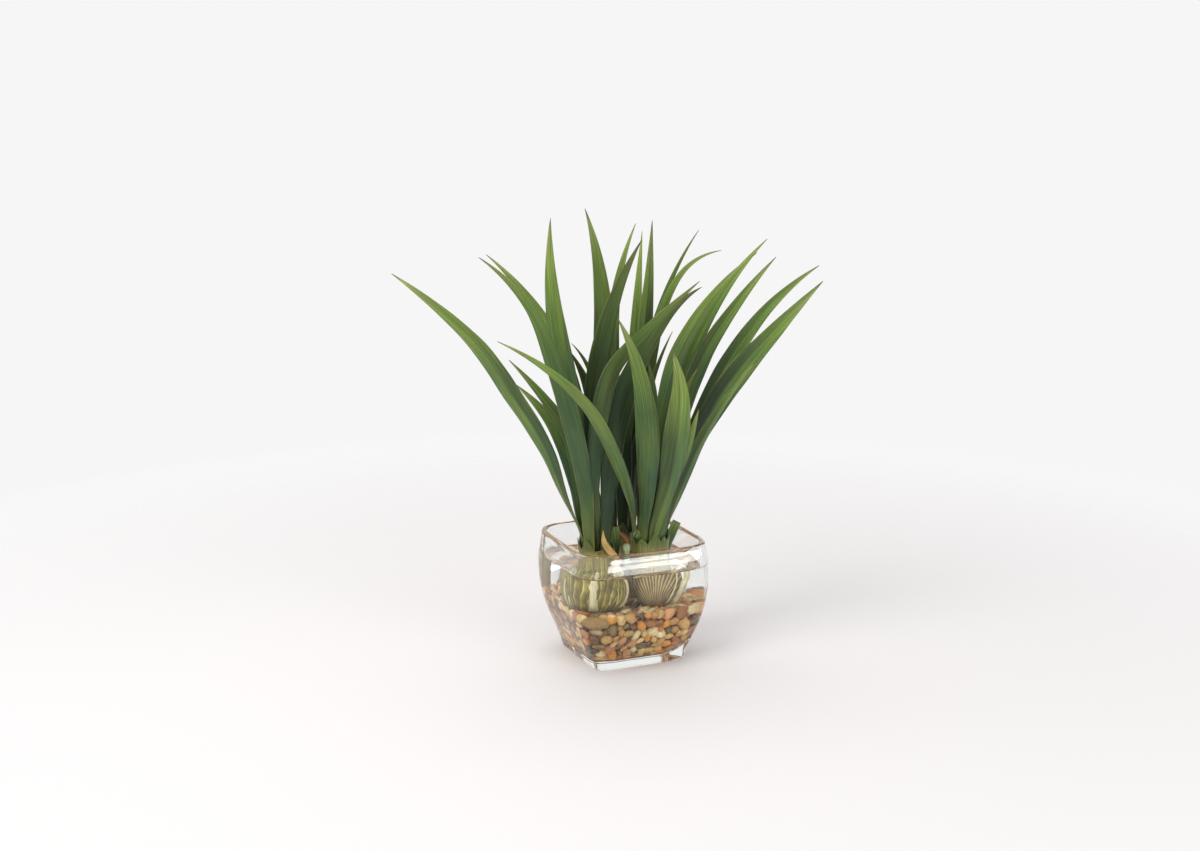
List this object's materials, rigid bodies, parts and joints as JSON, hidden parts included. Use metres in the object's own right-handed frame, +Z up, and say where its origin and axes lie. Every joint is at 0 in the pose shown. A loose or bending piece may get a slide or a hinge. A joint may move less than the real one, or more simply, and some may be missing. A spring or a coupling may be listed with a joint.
{
  "type": "potted plant",
  "caption": "Artificial lily grass: long arching blade leaves rising from bulbs set in clear water over small pebbles in a square bulging glass vase.",
  "frame": {"origin": "centre of the vase's flat underside, on the surface it stands on", "axes": "+Z up; -Y is square to the vase's front face; +X to that face's right"},
  "size_m": [0.3271, 0.1488, 0.3442],
  "materials": {
    "clear_glass": "gloss",
    "set_water": "clear cast resin, gloss",
    "pea_gravel": "satin, mixed tan, amber, grey and white",
    "bulb_olive": "satin, fine curved lines",
    "bulb_dark": "satin",
    "leaf_green": "satin, fine long veins",
    "leaf_bright": "satin, fine long veins",
    "leaf_dark": "satin, fine long veins",
    "sheath_tan": "matte",
    "sheath_rust": "matte",
    "shoot_pale": "satin"
  },
  "bodies": {
    "root": {"glass_vase": "clear_glass", "set_water": "set_water", "gravel_bed": "pea_gravel", "bulb_left": "bulb_olive", "bulb_right": "bulb_olive", "bulb_back": "bulb_dark", "dry_sheath_tan": "sheath_tan", "dry_sheath_rust": "sheath_rust", "cut_stub_left": "leaf_dark", "cut_stub_right": "leaf_green", "side_shoot": "shoot_pale", "leaf_left_01": "leaf_green", "leaf_left_02": "leaf_green", "leaf_left_03": "leaf_green", "leaf_left_04": "leaf_green", "leaf_left_05": "leaf_green", "leaf_left_06": "leaf_green", "leaf_left_07": "leaf_green", "leaf_left_08": "leaf_green", "leaf_left_09": "leaf_green", "leaf_right_01": "leaf_bright", "leaf_right_02": "leaf_bright", "leaf_right_03": "leaf_bright", "leaf_right_04": "leaf_bright", "leaf_right_05": "leaf_bright", "leaf_right_06": "leaf_bright", "leaf_right_07": "leaf_bright", "leaf_right_08": "leaf_bright", "leaf_right_09": "leaf_bright", "leaf_right_10": "leaf_bright", "leaf_right_11": "leaf_bright", "leaf_right_12": "leaf_bright", "leaf_back_01": "leaf_dark", "leaf_back_02": "leaf_dark", "leaf_back_03": "leaf_dark", "leaf_back_04": "leaf_dark", "leaf_back_05": "leaf_dark", "leaf_back_06": "leaf_dark", "leaf_back_07": "leaf_dark", "leaf_back_08": "leaf_dark", "leaf_back_09": "leaf_dark", "leaf_back_10": "leaf_dark"}
  },
  "joints": []
}
